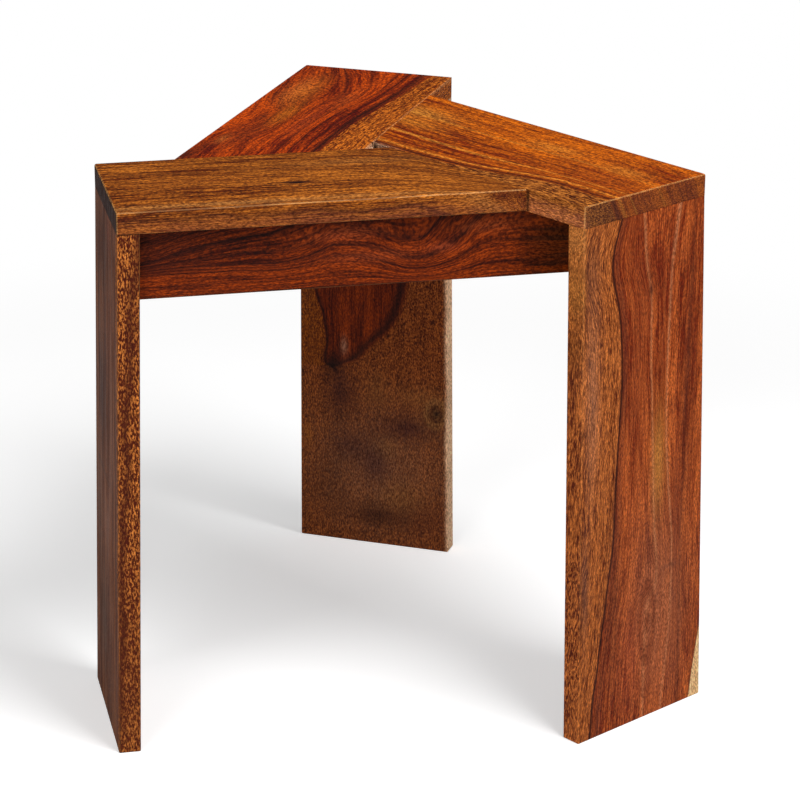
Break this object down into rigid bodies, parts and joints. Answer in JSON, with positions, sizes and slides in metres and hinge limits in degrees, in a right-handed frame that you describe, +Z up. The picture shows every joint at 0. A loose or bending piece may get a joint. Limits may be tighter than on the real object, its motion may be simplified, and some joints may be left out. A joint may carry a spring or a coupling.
{
  "type": "side table",
  "caption": "Low solid-wood side table: board arms set like a pinwheel round a small triangular hole, each on its own board leg, tied by rails below the top.",
  "frame": {"origin": "on the floor, at the middle of the table's bounding box", "axes": "+Z up, -X along the left arm from the hole in the top, +Y to the back"},
  "size_m": [0.551, 0.5506, 0.508],
  "materials": {
    "rosewood_top_left": "satin lacquer, tan brown with fine straight grain",
    "rosewood_top_front": "satin lacquer, golden orange with straight dark lines",
    "rosewood_top_back": "satin lacquer, red brown with wavy dark streaks",
    "rosewood_leg_left": "satin lacquer, dark purple brown",
    "rosewood_leg_front": "satin lacquer, red brown heartwood with a golden sapwood edge",
    "rosewood_leg_back": "satin lacquer, dark brown with knots",
    "rosewood_rail": "satin lacquer, dark red brown",
    "beech_dowel": "raw beech",
    "zinc_plated_steel": "zinc plated"
  },
  "bodies": {
    "root": {"top_board_left": "rosewood_top_left", "top_board_front": "rosewood_top_front", "top_board_back": "rosewood_top_back", "leg_left": "rosewood_leg_left", "leg_front": "rosewood_leg_front", "leg_back": "rosewood_leg_back", "rail_left": "rosewood_rail", "rail_front": "rosewood_rail", "rail_back": "rosewood_rail", "leg_dowel_left_1": "beech_dowel", "leg_dowel_left_2": "beech_dowel", "leg_dowel_left_3": "beech_dowel", "leg_dowel_front_1": "beech_dowel", "leg_dowel_front_2": "beech_dowel", "leg_dowel_front_3": "beech_dowel", "leg_dowel_back_1": "beech_dowel", "leg_dowel_back_2": "beech_dowel", "leg_dowel_back_3": "beech_dowel", "seam_dowel_left_1": "beech_dowel", "seam_dowel_left_2": "beech_dowel", "seam_dowel_left_3": "beech_dowel", "seam_dowel_front_1": "beech_dowel", "seam_dowel_front_2": "beech_dowel", "seam_dowel_front_3": "beech_dowel", "seam_dowel_back_1": "beech_dowel", "seam_dowel_back_2": "beech_dowel", "seam_dowel_back_3": "beech_dowel", "rail_dowel_left_1": "beech_dowel", "rail_dowel_left_2": "beech_dowel", "rail_dowel_front_1": "beech_dowel", "rail_dowel_front_2": "beech_dowel", "rail_dowel_back_1": "beech_dowel", "rail_dowel_back_2": "beech_dowel", "corner_dowel_left_1": "beech_dowel", "corner_dowel_front_1": "beech_dowel", "corner_dowel_back_1": "beech_dowel", "rail_screw_left_1": "zinc_plated_steel", "rail_screw_left_2": "zinc_plated_steel", "rail_screw_left_3": "zinc_plated_steel", "rail_screw_front_1": "zinc_plated_steel", "rail_screw_front_2": "zinc_plated_steel", "rail_screw_front_3": "zinc_plated_steel", "rail_screw_back_1": "zinc_plated_steel", "rail_screw_back_2": "zinc_plated_steel", "rail_screw_back_3": "zinc_plated_steel"}
  },
  "joints": []
}
